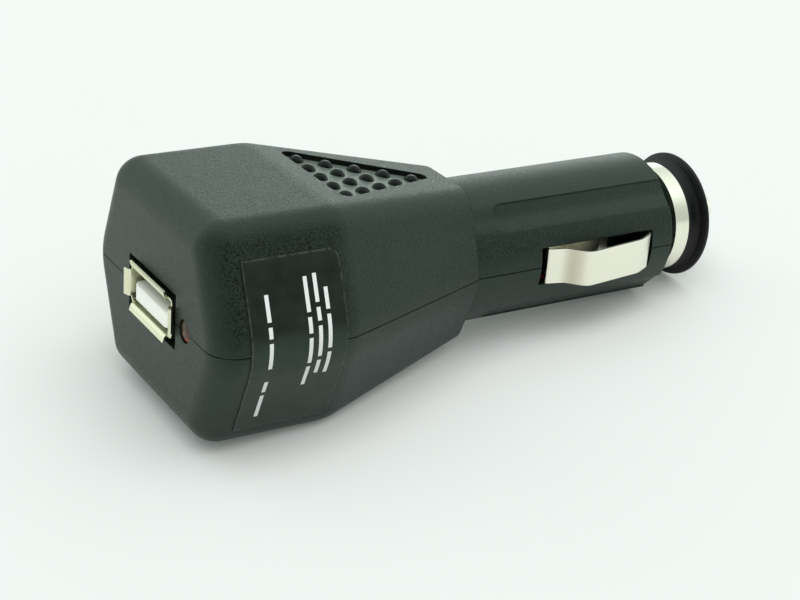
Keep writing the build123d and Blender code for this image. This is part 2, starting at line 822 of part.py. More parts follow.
with BuildPart() as ground_leads:
    for side in (-1, 1):
        add(
            wire(
                (tail_x[0] - wire_end_gap, side * ground_wire_y, ground_wire_z),
                (ground_wire_turn_x, side * ground_wire_y, ground_wire_z),
                (-wire_pad_from_shoulder, side * ground_pad_y, ground_wire_z),
                (-wire_pad_from_shoulder, side * ground_pad_y, board_bottom_z),
            )
        )
finish(ground_leads, "ground_leads")

# Rating label: a film that follows the near side over the parting line
with BuildPart() as rating_label:
    with BuildSketch(Plane.YZ.offset(front_x + label_start)):
        with BuildLine():
            top_y = head_half_height * tan(radians(flank_draft)) - head_peak_half_width
            FilletPolyline(
                (top_y, head_half_height),
                (-head_peak_half_width, 0),
                (top_y, -head_half_height),
                radius=peak_radius,
            )
            offset(amount=label_thickness, side=Side.RIGHT)
        make_face()
    extrude(amount=label_length)
    with BuildSketch(Plane.XZ) as label_outline:
        with Locations((front_x + label_start + label_length / 2, (label_top + label_bottom) / 2)):
            Rectangle(label_length, label_top - label_bottom)
        fillet(label_outline.vertices().group_by(Axis.X)[-1], label_corner_radius)
    extrude(amount=2 * head_peak_half_width, mode=Mode.INTERSECT)
finish(rating_label, "rating_label")
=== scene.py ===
"""Studio scene of the car USB charger plug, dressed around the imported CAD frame.

X runs along the barrel towards the tip and Z is up, as in the CAD frame, which is in metres.
Named sizes are in millimetres.
The plug lies on its ridge and its barrel's end, so the floor is tilted under it.
"""
import json
from math import asin, atan, atan2, cos, pi, radians, sin, sqrt, tan

import bmesh
import bpy
from mathutils import Matrix, Vector

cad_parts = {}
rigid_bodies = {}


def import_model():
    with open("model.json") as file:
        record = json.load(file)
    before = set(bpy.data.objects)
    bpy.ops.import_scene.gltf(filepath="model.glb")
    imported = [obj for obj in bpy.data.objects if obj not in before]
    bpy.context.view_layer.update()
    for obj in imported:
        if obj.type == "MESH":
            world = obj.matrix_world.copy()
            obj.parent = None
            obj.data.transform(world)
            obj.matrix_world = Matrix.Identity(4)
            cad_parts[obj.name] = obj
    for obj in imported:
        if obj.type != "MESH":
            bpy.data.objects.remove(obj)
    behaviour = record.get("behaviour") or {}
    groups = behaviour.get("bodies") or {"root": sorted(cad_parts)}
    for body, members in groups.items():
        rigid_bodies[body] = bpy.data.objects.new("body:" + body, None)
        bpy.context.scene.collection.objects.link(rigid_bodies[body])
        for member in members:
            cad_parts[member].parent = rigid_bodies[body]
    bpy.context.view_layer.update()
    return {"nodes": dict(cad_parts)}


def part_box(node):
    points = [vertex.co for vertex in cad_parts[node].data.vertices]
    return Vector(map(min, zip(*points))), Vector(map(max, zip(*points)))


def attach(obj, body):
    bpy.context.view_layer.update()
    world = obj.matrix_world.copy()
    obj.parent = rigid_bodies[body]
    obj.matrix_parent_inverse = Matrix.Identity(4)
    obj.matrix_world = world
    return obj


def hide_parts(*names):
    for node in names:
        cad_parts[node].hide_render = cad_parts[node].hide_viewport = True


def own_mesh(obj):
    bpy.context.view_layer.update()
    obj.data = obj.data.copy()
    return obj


for leftover in list(bpy.data.objects):
    bpy.data.objects.remove(leftover)

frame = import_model()
nodes = frame["nodes"]
MM = 0.001

# Sizes of the plug that the finishes and the smooth pieces share with the frame
ridge_x = -25.3
tail_length = 25.3
head_half_height = 15.5
rear_half_height = 11.6
barrel_radius = 10.45
barrel_length = 34.7
grip_depth = 0.7
grip_base_from_shoulder = 21.9
grip_apex_from_shoulder = 1.5
grip_half_base = 9.85
leaf_fold_x = 12.2
shell_mouth_x = -44.95


# Mesh helpers
def arc(centre, radius, start, end, steps=10):
    """Points of an arc in the plane of two axes, from one angle to another in degrees."""
    angles = [radians(start + (end - start) * i / steps) for i in range(steps + 1)]
    return [(centre[0] + radius * cos(a), centre[1] + radius * sin(a)) for a in angles]


def add_mesh(name, points, faces, material, body, slot, crease=35):
    """A smooth-shaded mesh piece that rides on a body, its edges sharp above the crease angle."""
    mesh = bpy.data.meshes.new(name)
    mesh.from_pydata([Vector(p) * MM for p in points], [], faces)
    outward = bmesh.new()
    outward.from_mesh(mesh)
    bmesh.ops.recalc_face_normals(outward, faces=outward.faces)
    outward.to_mesh(mesh)
    outward.free()
    mesh.shade_smooth()
    mesh.set_sharp_from_angle(angle=radians(crease))
    mesh.materials.append(material)
    piece = bpy.data.objects.new(name, mesh)
    bpy.context.scene.collection.objects.link(piece)
    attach(piece, body)
    return piece


def lathe(profile, axis_y=0.0, segments=128):
    """Points and faces of a profile of (x, r) points turned about an axis along X; r = 0 makes a pole."""
    points = []
    rings = []
    turns = [2 * pi * i / segments for i in range(segments)]
    for x, r in profile:
        if r == 0:
            rings.append([len(points)] * segments)
            points.append((x, axis_y, 0))
            continue
        rings.append(list(range(len(points), len(points) + segments)))
        points += [(x, axis_y + r * cos(a), r * sin(a)) for a in turns]
    pairs = list(zip(rings, rings[1:]))
    if profile[0][1] > 0:
        pairs.append((rings[-1], rings[0]))
    faces = []
    for near, far in pairs:
        for i in range(segments):
            j = (i + 1) % segments
            corners = [near[i], near[j], far[j], far[i]]
            faces.append(list(dict.fromkeys(corners)))
    return points, faces


def rounded_path(route, steps=10):
    """Points of a line through (along, out, bend radius) corners, each inner corner made a tangent arc."""
    corners = [Vector(corner[:2]) for corner in route]
    path = [corners[0]]
    for before, corner, after, (_, _, radius) in zip(corners, corners[1:], corners[2:], route[1:]):
        back = (before - corner).normalized()
        ahead = (after - corner).normalized()
        half = back.angle(ahead) / 2
        centre = corner + (back + ahead).normalized() * radius / sin(half)
        first = corner + back * radius / tan(half) - centre
        last = corner + ahead * radius / tan(half) - centre
        start = atan2(first.y, first.x)
        turn = (atan2(last.y, last.x) - start + pi) % (2 * pi) - pi
        angles = [start + turn * i / steps for i in range(steps + 1)]
        path += [centre + Vector((cos(a), sin(a))) * radius for a in angles]
    return path + [corners[-1]]


def folded_sheet(path, thickness, half_width):
    """Points (along, out, across) and faces of a sheet that follows a path in the (along, out) plane."""
    points = []
    for i, place in enumerate(path):
        ahead = (path[min(i + 1, len(path) - 1)] - path[max(i - 1, 0)]).normalized()
        side = Vector((-ahead.y, ahead.x)) * thickness / 2
        for face, across in ((1, -1), (1, 1), (-1, 1), (-1, -1)):
            spot = place + side * face
            points.append((spot.x, spot.y, across * half_width))
    faces = [[0, 1, 2, 3], [len(points) - 1 - i for i in range(4)]]
    for i in range(0, len(points) - 4, 4):
        faces += [[i + j, i + 4 + j, i + 4 + (j + 1) % 4, i + (j + 1) % 4] for j in range(4)]
    return points, faces


def join(*parts):
    """Points and faces of several parts together."""
    points, faces = [], []
    for more, more_faces in parts:
        faces += [[i + len(points) for i in face] for face in more_faces]
        points += more
    return points, faces


def flat_quad(name, centre, half_a, half_b, material):
    """A flat four-sided piece of the stage, spanned by two half sides."""
    corners = [centre + half_a * a + half_b * b for a, b in ((-1, -1), (1, -1), (1, 1), (-1, 1))]
    mesh = bpy.data.meshes.new(name)
    mesh.from_pydata([corner * MM for corner in corners], [], [[0, 1, 2, 3]])
    mesh.materials.append(material)
    quad = bpy.data.objects.new(name, mesh)
    bpy.context.scene.collection.objects.link(quad)
    return quad


# Material helpers
class Shader:
    """A material with a Principled shader and short names for the nodes that feed it."""

    def __init__(self, name, **settings):
        self.material = bpy.data.materials.new(name)
        self.material.use_nodes = True
        self.tree = self.material.node_tree
        self.main = self.tree.nodes["Principled BSDF"]
        for socket, value in settings.items():
            self.main.inputs[socket.replace("_", " ")].default_value = value
        self.place = self.node("ShaderNodeTexCoord").outputs["Object"]

    def set_input(self, socket, value):
        """A link where the value is another node's socket, and otherwise the value itself."""
        if isinstance(value, bpy.types.NodeSocket):
            self.tree.links.new(value, socket)
        else:
            socket.default_value = value

    def node(self, kind, inputs=(), **options):
        """A new node with its options and inputs set."""
        made = self.tree.nodes.new(kind)
        for key, value in options.items():
            setattr(made, key, value)
        for key, value in dict(inputs).items():
            self.set_input(made.inputs[key], value)
        return made

    def feed(self, socket, value):
        """A link into the main shader."""
        self.tree.links.new(value, self.main.inputs[socket])

    def noise(self, size_mm, detail=2.0, roughness=0.5, place=None):
        """Noise between about 0.2 and 0.8, with grains of that size."""
        inputs = {"Scale": 1 / (size_mm * MM), "Detail": detail, "Roughness": roughness}
        inputs["Vector"] = place or self.place
        return self.node("ShaderNodeTexNoise", inputs).outputs["Fac"]

    def ramp(self, value, low, high, start=0.0, end=1.0):
        """Value mapped smoothly from low..high to start..end."""
        inputs = {"Value": value, "From Min": low, "From Max": high, "To Min": start, "To Max": end}
        return self.node("ShaderNodeMapRange", inputs, interpolation_type="SMOOTHSTEP").outputs["Result"]

    def rise(self, value, low_mm, high_mm):
        """A mask that goes from 0 to 1 between two lengths."""
        return self.ramp(value, low_mm * MM, high_mm * MM)

    def drop(self, value, low_mm, high_mm):
        """A mask that goes from 1 to 0 between two lengths."""
        return self.ramp(value, low_mm * MM, high_mm * MM, 1.0, 0.0)

    def math(self, operation, a, b=0.0):
        """One step of arithmetic on two values or sockets."""
        return self.node("ShaderNodeMath", {0: a, 1: b}, operation=operation).outputs[0]

    def mix(self, factor, first, second):
        """A colour between two others."""
        made = self.node("ShaderNodeMix", data_type="RGBA")
        shown = [s for s in made.inputs if s.enabled and s.type in ("RGBA", "VALUE")]
        for key, value in (("Factor", factor), ("A", first), ("B", second)):
            self.set_input(next(s for s in shown if s.name == key), value)
        return next(s for s in made.outputs if s.type == "RGBA")

    def axes(self):
        """X, Y and Z of the frame, in metres."""
        split = self.node("ShaderNodeSeparateXYZ", {"Vector": self.place})
        return split.outputs["X"], split.outputs["Y"], split.outputs["Z"]

    def bump(self, height, depth_mm, edge_mm=0.0):
        """Relief of that depth on the shader's normal, over edges eased by that radius."""
        inputs = {"Height": height, "Distance": depth_mm * MM}
        if edge_mm:
            eased = self.node("ShaderNodeBevel", {"Radius": edge_mm * MM}, samples=6)
            inputs["Normal"] = eased.outputs["Normal"]
        self.feed("Normal", self.node("ShaderNodeBump", inputs).outputs["Normal"])


def grey(value, warmth=0.0):
    """A grey with a little warmth or, below zero, coolness."""
    return (value * (1 + warmth), value, value * (1 - warmth), 1)


def dimmed(colour, share):
    """A colour at a share of its brightness."""
    return tuple(share * c for c in colour[:3]) + (1,)


# The middle of a noise's range, where most of its values lie
noise_span = (0.3, 0.7)
sheen = (0.70, 1.0, 0.83, 1)

# Housing plastic
housing_dark = (0.0022, 0.0030, 0.0025, 1)
housing_light = (0.0090, 0.0112, 0.0098, 1)
# Painted sheen: the grip floor's base colour is raised to stand in for the reflections of its smoother finish
grip_floor_sheen_colour = (0.075, 0.090, 0.080, 1)
# Near-black of the seam, also used as painted shade on the grip recess walls and on the floor along their
# slanted sides
seam_and_shade_black = (0.0008, 0.0009, 0.0008, 1)
housing_shine = 0.58
housing_rough = 0.42
barrel_rough = 0.40
rough_below = 0.06
rough_above = 0.08
grain_size = 0.23
grain_depth = 0.050
speck_span = (0.42, 0.74)
speck_share = 0.8
cloud_size = 9.0
cloud_share = 0.2
smooth_grain = 0.8
edge_ease = 0.2
flute_half_width = 2.2
flute_hollow = 5.0
seam_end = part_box("side_contact_near")[1].x / MM
seam_width = 0.11

# Where the finish of the housing changes: each pair is where the change starts and ends
barrel_line = (-0.1, 0.1)
grip_side_line = (0.2, 0.4)
grip_base_line = (0.6, 0.3)
grip_lip_depth = (0.04, 0.08)
grip_floor_rise = (0.06, 0.02)
# Width of the painted shade strip on the grip floor along the slanted sides
side_shade_width = (0.30, 0.45)
seam_edge = (0.5 * seam_width, 0.7 * seam_width)
seam_fade = 0.2


def grip_masks(skin, x, away, height):
    """Masks of the floor of the grip recesses, and of the painted shade on their walls and on the floor along
    their slanted sides.
    """
    fall = (head_half_height - rear_half_height) / tail_length
    slope_z = skin.math("SUBTRACT", rear_half_height * MM, skin.math("MULTIPLY", x, fall))
    below_slope = skin.math("SUBTRACT", slope_z, height)
    spread = grip_half_base / (grip_base_from_shoulder - grip_apex_from_shoulder)
    apex_reach = grip_apex_from_shoulder * spread * MM
    reach = skin.math("SUBTRACT", skin.math("MULTIPLY", x, -spread), apex_reach)

    within_sides = skin.drop(skin.math("SUBTRACT", away, reach), *grip_side_line)
    base_from, base_to = [-(grip_base_from_shoulder + beyond) for beyond in grip_base_line]
    inside = skin.math("MULTIPLY", within_sides, skin.rise(x, base_from, base_to))
    sunk = skin.math("MULTIPLY", inside, skin.rise(below_slope, *grip_lip_depth))
    floor_from, floor_to = [grip_depth - above for above in grip_floor_rise]
    on_floor = skin.math("MULTIPLY", inside, skin.rise(below_slope, floor_from, floor_to))
    # Painted shade strip on the floor along the recess's slanted sides
    side_shade = skin.drop(skin.math("SUBTRACT", reach, away), *side_shade_width)
    open_floor = skin.math("MULTIPLY", on_floor, skin.math("SUBTRACT", 1.0, side_shade))
    # The second mask is painted shade: the walls and the side strips of the floor
    return on_floor, skin.math("SUBTRACT", sunk, open_floor)


def housing_skin():
    """Spark-eroded plastic: fine pits and specks, a painted sheen that makes the grip floor pale, painted
    shade on the grip walls, hollow flutes, black in the seam.
    """
    skin = Shader("housing", Specular_IOR_Level=housing_shine, Specular_Tint=sheen)
    x, y, z = skin.axes()
    height = skin.math("ABSOLUTE", z)
    away = skin.math("ABSOLUTE", y)
    grain = skin.noise(grain_size, detail=3.0, roughness=0.6)
    specks = skin.ramp(grain, *speck_span)
    cloud = skin.noise(cloud_size)

    on_barrel = skin.rise(x, *barrel_line)
    on_floor, wall_shade = grip_masks(skin, x, away, height)
    in_seam = skin.drop(height, *seam_edge)
    in_seam = skin.math("MULTIPLY", in_seam, skin.drop(x, seam_end, seam_end + seam_fade))
    # Seam black, and painted shade on the grip walls and side strips
    seam_and_wall_shade = skin.math("MAXIMUM", wall_shade, in_seam)
    smooth = skin.math("MAXIMUM", on_barrel, on_floor)

    clouded = skin.ramp(cloud, *noise_span, 0.0, cloud_share)
    tone = skin.math("ADD", skin.math("MULTIPLY", specks, speck_share), clouded)
    colour = skin.mix(tone, housing_dark, housing_light)
    # Painted sheen on the grip floor
    colour = skin.mix(on_floor, colour, grip_floor_sheen_colour)
    skin.feed("Base Color", skin.mix(seam_and_wall_shade, colour, seam_and_shade_black))

    gloss = skin.ramp(grain, *noise_span, housing_rough - rough_below, housing_rough + rough_above)
    smoother = skin.math("MULTIPLY", smooth, barrel_rough - housing_rough)
    dull = skin.math("MULTIPLY", seam_and_wall_shade, 1.0 - housing_rough)
    skin.feed("Roughness", skin.math("ADD", skin.math("ADD", gloss, smoother), dull))

    pits = skin.math("MULTIPLY", specks, skin.ramp(smooth, 0.0, 1.0, 1.0, smooth_grain))
    from_flute = skin.math("ABSOLUTE", skin.math("SUBTRACT", away, height))
    hollow = skin.rise(from_flute, 0.0, flute_half_width * sqrt(2))
    flutes = skin.math("MULTIPLY", skin.math("MULTIPLY", hollow, on_barrel), flute_hollow)
    skin.bump(skin.math("ADD", pits, flutes), grain_depth, edge_ease)
    return skin.material


# Polished plastic of the grip domes
dome_dark = grey(0.003, -0.05)
dome_light = grey(0.006, -0.05)
dome_shine = 0.18
dome_rough = 0.13
dome_rough_spread = 0.05
dome_grain = 0.5
dome_grain_span = (0.35, 0.7)
dome_relief = 0.004


def dome_skin():
    """Polished black plastic with a little unevenness."""
    skin = Shader("housing_dome", Specular_IOR_Level=dome_shine, Specular_Tint=sheen)
    grain = skin.noise(dome_grain, detail=3.0, roughness=0.6)
    skin.feed("Base Color", skin.mix(skin.ramp(grain, *dome_grain_span), dome_dark, dome_light))
    gloss = skin.ramp(grain, *noise_span, dome_rough - dome_rough_spread, dome_rough + dome_rough_spread)
    skin.feed("Roughness", gloss)
    skin.bump(grain, dome_relief)
    return skin.material


# Plated metal
nickel_colour = (0.89, 0.88, 0.75, 1)
nickel_rough = 0.19
# Darker, yellower copy of the nickel for the socket: painted shade, as its lips reflect the shaded floor
shaded_usb_nickel_colour = (0.78, 0.78, 0.58, 1)
usb_nickel_rough = 0.24
# Painted shade: a darker band along the leaf's concave bend
bend_shade_colour = (0.63, 0.59, 0.47, 1)
shade_band_from_fold = 3.4
shade_band_reach = 1.9
# Painted shade inside the socket shell, fading in from a little behind its mouth
shade_from_mouth = 0.8
shade_fade = 2.5
shade_share = 0.12
brush_size = 0.25
brush_stretch = 0.06
brush_depth = 0.0004
smudge_size = 3.5
smudge_spread = 0.04


def plated(name, colour, rough, shade_from=None, shade_band_x=None):
    """Plated metal with drawing lines and smudges, with painted shade beyond one x and a painted shade band
    along a bend at another x, each when given.
    """
    metal = Shader(name, Metallic=1.0, Base_Color=colour)
    x = metal.axes()[0]
    # Painted shade band along the bend
    if shade_band_x is not None:
        off_shade_band = metal.math("ABSOLUTE", metal.math("SUBTRACT", x, shade_band_x * MM))
        metal.feed("Base Color", metal.mix(metal.drop(off_shade_band, 0.0, shade_band_reach), colour, bend_shade_colour))
    # Painted shade: darker beyond an x
    if shade_from is not None:
        inner_shade = metal.rise(x, shade_from, shade_from + shade_fade)
        metal.feed("Base Color", metal.mix(inner_shade, colour, dimmed(colour, shade_share)))
    stretch = {"Vector": metal.place, "Scale": (brush_stretch, 1, 1)}
    lines = metal.noise(brush_size, place=metal.node("ShaderNodeMapping", stretch).outputs["Vector"])
    smudges = metal.noise(smudge_size, detail=3.0)
    metal.feed("Roughness", metal.ramp(smudges, *noise_span, rough - smudge_spread, rough + smudge_spread))
    metal.bump(lines, brush_depth)
    return metal.material


# Unevenness of the gloss of a plain finish
duller = 0.07
shinier = 0.05


def simple(name, colour, rough, grain_mm=0.5, depth_mm=0.01, spread=0.25, edge_mm=0.0, **settings):
    """A plain finish with a little unevenness in colour, gloss and relief."""
    skin = Shader(name, **settings)
    grain = skin.noise(grain_mm, detail=3.0)
    skin.feed("Base Color", skin.mix(skin.ramp(grain, *noise_span), dimmed(colour, 1 - spread), colour))
    skin.feed("Roughness", skin.ramp(grain, *noise_span, rough - shinier, rough + duller))
    skin.bump(grain, depth_mm, edge_mm)
    return skin.material


# Label film: a painted highlight along its edge, square corners in front and rounded ones behind, and plain
# printed bars
label_low, label_high = [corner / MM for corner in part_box("rating_label")]
label_dark = (0.0080, 0.0100, 0.0084, 1)
label_light = (0.0125, 0.0150, 0.0130, 1)
# Painted highlight along the label's cut edge, broken into patches by noise
label_edge_highlight = grey(0.045)
label_ink = grey(0.62)
label_shine = 0.5
label_rough = (0.36, 0.46)
label_tone_size = 1.6
label_gloss_size = 4.0
label_relief_size = 0.7
label_relief = 0.006
label_corner = 1.6
label_edge = 0.16
edge_highlight_patch_size = 0.6
edge_highlight_patch_span = (0.4, 0.65)
edge_highlight_least = 0.1
bar_width = 0.55
bar_blur = 0.03
word_gap = 0.6

# Rows of bars: place across the label from 0 to 1, height of the first bar's top, lengths of the bars
rows = [
    (0.81, 7.0, (2.6, 4.4, 3.4)),
    (0.71, 8.8, (3.4, 1.6, 4.2, 2.2)),
    (0.61, 8.6, (4.2, 2.0, 3.6, 3.2)),
    (0.20, 7.2, (3.2, 1.4, 3.6)),
    (0.20, -4.4, (1.8, 3.8)),
]


def label_bars():
    """Each bar's x, bottom z and top z."""
    for across, top, words in rows:
        bar_x = label_low.x + across * (label_high.x - label_low.x)
        for length in words:
            yield bar_x, top - length, top
            top -= length + word_gap


def label_film():
    """Dark satin film with a painted highlight along its edge, broken into patches, and printed bars."""
    film = Shader("label_film", Specular_IOR_Level=label_shine, Specular_Tint=sheen)
    x, _, z = film.axes()
    middle = (label_low + label_high) / 2
    half = (label_high - label_low) / 2

    def beyond(value, centre, reach):
        from_centre = film.math("ABSOLUTE", film.math("SUBTRACT", value, centre * MM))
        return film.math("SUBTRACT", from_centre, reach * MM)

    over_x = beyond(x, middle.x - label_corner, half.x)
    over_z = beyond(z, middle.z, half.z - label_corner)
    outer_x = film.math("MAXIMUM", over_x, 0.0)
    outer_z = film.math("MAXIMUM", over_z, 0.0)
    square = film.math("ADD", film.math("POWER", outer_x, 2.0), film.math("POWER", outer_z, 2.0))
    inner = film.math("MINIMUM", film.math("MAXIMUM", over_x, over_z), 0.0)
    front = film.math("SUBTRACT", (label_low.x + label_corner) * MM, x)
    reach = film.math("MAXIMUM", film.math("ADD", film.math("SQRT", square), inner), front)
    # Painted highlight: a band along the edge, broken into patches
    rim = film.rise(reach, label_corner - 2 * label_edge, label_corner - label_edge / 2)
    highlight_patches = film.ramp(film.noise(edge_highlight_patch_size, detail=3.0), *edge_highlight_patch_span, edge_highlight_least, 1.0)

    ink = 0.0
    for bar_x, low, high in label_bars():
        side = beyond(x, bar_x, bar_width / 2)
        end = beyond(z, (low + high) / 2, (high - low) / 2)
        inside = film.drop(film.math("MAXIMUM", side, end), -bar_blur, bar_blur)
        ink = film.math("MAXIMUM", inside, ink)

    tone = film.ramp(film.noise(label_tone_size, detail=4.0), *noise_span)
    base = film.mix(tone, label_dark, label_light)
    # Painted highlight mixed in along the edge
    highlighted = film.mix(film.math("MULTIPLY", rim, highlight_patches), base, label_edge_highlight)
    film.feed("Base Color", film.mix(ink, highlighted, label_ink))
    film.feed("Roughness", film.ramp(film.noise(label_gloss_size), *noise_span, *label_rough))
    film.bump(film.noise(label_relief_size), label_relief)
    return film.material


# Lamp lens: brown above, and red low down where the light gathers
lamp_brown = (0.040, 0.022, 0.014, 1)
lamp_glow = (0.30, 0.030, 0.018, 1)
glow_height = (-1.3, 0.2)
glow_patch_size = 0.9
glow_patch_span = (0.35, 0.6)
lamp_rough = 0.18
lamp_shine = 0.2


def lamp_skin():
    """The unlit lens."""
    lens = Shader("lamp_red", Roughness=lamp_rough, Specular_IOR_Level=lamp_shine)
    _, _, z = lens.axes()
    patches = lens.ramp(lens.noise(glow_patch_size), *glow_patch_span)
    glow = lens.math("MULTIPLY", lens.drop(z, *glow_height), patches)
    lens.feed("Base Color", lens.mix(glow, lamp_brown, lamp_glow))
    return lens.material


finishes = {
    "housing": housing_skin(),
    "label_film": label_film(),
    "nickel": plated("nickel", nickel_colour, nickel_rough),
    "nose_plastic": simple(
        "nose_plastic", (0.005, 0.0053, 0.0053, 1), 0.40, grain_mm=0.6, depth_mm=0.004, Specular_IOR_Level=0.3
    ),
    "socket_white": simple(
        "socket_white", (0.94, 0.95, 0.89, 1), 0.34, grain_mm=0.8, depth_mm=0.004, spread=0.04, edge_mm=0.4
    ),
    "contact_gold": plated("contact_gold", (0.83, 0.62, 0.27, 1), 0.22),
    "lamp_red": lamp_skin(),
    "spring_steel": plated("spring_steel", (0.55, 0.54, 0.52, 1), 0.30),
    "fuse_glass": simple(
        "fuse_glass", (0.92, 0.95, 0.94, 1), 0.06, grain_mm=2.0, depth_mm=0.002, spread=0.03,
        Transmission_Weight=0.9, IOR=1.5,
    ),
    "board_green": simple("board_green", (0.02, 0.13, 0.05, 1), 0.35, grain_mm=0.9),
    "package_black": simple("package_black", (0.02, 0.02, 0.021, 1), 0.55, grain_mm=0.25, depth_mm=0.015),
    "can_sleeve": simple("can_sleeve", (0.02, 0.03, 0.07, 1), 0.32, grain_mm=1.0, depth_mm=0.005),
    "ferrite": simple("ferrite", (0.035, 0.034, 0.033, 1), 0.65, grain_mm=0.3, depth_mm=0.02),
    "tinned": plated("tinned", (0.72, 0.72, 0.70, 1), 0.32),
    "lead_insulation": simple("lead_insulation", (0.35, 0.02, 0.015, 1), 0.42, grain_mm=0.8),
}
for node in nodes.values():
    slot = node.material_slots[0].material.name.split(".")[0]
    node.material_slots[0].material = finishes[slot]
gloss_black = dome_skin()
# Leaf nickel with a painted shade band along its concave bend
leaf_nickel = plated("leaf_nickel", nickel_colour, nickel_rough, shade_band_x=leaf_fold_x + shade_band_from_fold)
# The socket's nickel, with painted shade inside
inner_shade_x = shell_mouth_x + shade_from_mouth
shaded_usb_nickel = plated("shaded_usb_nickel", shaded_usb_nickel_colour, usb_nickel_rough, shade_from=inner_shade_x)

# Grip domes: smooth caps that sit over the low facets of the frame, on both halves
dome_rows = 5
dome_row_pitch = 3.65
dome_pitch = 3.53
dome_last_row_from_shoulder = 5.45
dome_base_radius = 1.08
dome_height = 0.8
dome_segments = 40
dome_rings = 12


def dome_cap(place, x_dir, y_dir, out_dir):
    """Points and faces of one spherical cap on the floor of the recess."""
    sphere = (dome_base_radius**2 + dome_height**2) / (2 * dome_height)
    full = asin(dome_base_radius / sphere)
    points = []
    for ring in range(dome_rings):
        angle = full * (1 - ring / dome_rings)
        lift = dome_height - sphere * (1 - cos(angle))
        for i in range(dome_segments):
            turn = 2 * pi * i / dome_segments
            reach = x_dir * cos(turn) + y_dir * sin(turn)
            points.append(place + reach * sphere * sin(angle) + out_dir * lift)
    points.append(place + out_dir * dome_height)
    faces = [list(range(dome_segments))[::-1]]
    for ring in range(dome_rings - 1):
        for i in range(dome_segments):
            a = ring * dome_segments + i
            b = ring * dome_segments + (i + 1) % dome_segments
            faces.append([a, b, b + dome_segments, a + dome_segments])
    last = (dome_rings - 1) * dome_segments
    faces += [[last + i, last + (i + 1) % dome_segments, len(points) - 1] for i in range(dome_segments)]
    return points, faces


def grip_domes(name, side):
    """The triangle of domes on the upper (1) or lower (-1) half."""
    slope = atan((head_half_height - rear_half_height) / tail_length)
    along = Vector((cos(slope), 0, -side * sin(slope)))
    across = Vector((0, side, 0))
    out = along.cross(across)
    start = Vector((0, 0, side * rear_half_height)) - out * grip_depth
    caps = []
    for row in range(dome_rows):
        back = (dome_last_row_from_shoulder + row * dome_row_pitch) / cos(slope)
        for place in range(row + 1):
            centre = start - along * back + across * (place - row / 2) * dome_pitch
            caps.append(dome_cap(centre, along, across, out))
    add_mesh(name, *join(*caps), gloss_black, "root", "housing")


grip_domes("upper_grip_domes", 1)
grip_domes("lower_grip_domes", -1)

# Nose flange: a dished disc with a rounded rim, a waist behind it and a thin hub band against the ring
flange_low, flange_high = [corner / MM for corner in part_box("nose_flange")]
ring_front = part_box("nose_ring")[1].x / MM
rim_radius = flange_high.z
rim_thickness = 0.75
rim_round = 0.34
rim_back = flange_high.x - rim_thickness
neck_radius = 7.3
hub_radius = 8.15
hub_round = 0.12
hub_gap = 0.05
hub_length = 0.65
hub_back = ring_front + hub_gap
hub_front = hub_back + hub_length
groove_depth = 0.45
groove_radius = rim_radius - rim_round - hub_radius + groove_depth
pin_hole = 2.62
dish_depth = 0.5
dish_edge = 0.9
dish_run = 2.0
dish_steps = 8
small_round_steps = 4
rim_round_steps = 6
wide_round_steps = 12
dish_slope = [
    (
        flange_high.x - dish_depth * sin(pi / 2 * i / dish_steps),
        rim_radius - dish_edge - dish_run * i / dish_steps,
    )
    for i in range(1, dish_steps + 1)
]
flange_profile = (
    [(flange_low.x, pin_hole), (flange_low.x, neck_radius), (hub_back, neck_radius)]
    + arc((hub_back + hub_round, hub_radius - hub_round), hub_round, 180, 90, small_round_steps)
    + arc((hub_front - hub_round, hub_radius - hub_round), hub_round, 90, 0, small_round_steps)
    + [(hub_front, hub_radius - groove_depth)]
    + arc((hub_front, rim_radius - rim_round), groove_radius, -90, 0, wide_round_steps)[1:-1]
    + arc((rim_back + rim_round, rim_radius - rim_round), rim_round, 180, 90, rim_round_steps)
    + arc((flange_high.x - rim_round, rim_radius - rim_round), rim_round, 90, 0, rim_round_steps)
    + [(flange_high.x, rim_radius - dish_edge)]
    + dish_slope
    + [(flange_high.x - dish_depth, pin_hole)]
)
flange = add_mesh("dished_flange", *lathe(flange_profile), finishes["nose_plastic"], "root", "nose_plastic")
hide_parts("nose_flange")

# Centre pin: turned, with a shoulder inside and a rounded tip
pin_low, pin_high = [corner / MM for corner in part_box("centre_pin")]
pin_radius = 2.5
pin_tip_round = 1.3
shoulder_radius = pin_high.z
shoulder_length = 1.5
pin_profile = (
    [(pin_low.x, 0), (pin_low.x, shoulder_radius), (pin_low.x + shoulder_length, shoulder_radius)]
    + [(pin_low.x + shoulder_length, pin_radius)]
    + arc((pin_high.x - pin_tip_round, pin_radius - pin_tip_round), pin_tip_round, 90, 0, wide_round_steps)
    + [(pin_high.x, 0)]
)
pin = add_mesh("turned_pin", *lathe(pin_profile), finishes["nickel"], "pin", "nickel")
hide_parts("centre_pin")

# Coil spring behind the fuse, on its own copy of the mesh; on the real plug it shortens towards its plate as
# the pin is pressed in
coil_back = 8.55
coil_length = 8.5
coil_radius = 1.8
coil_turns = 2.4
coil_steps = 144
wire_radius = 0.28
wire_sides = 10


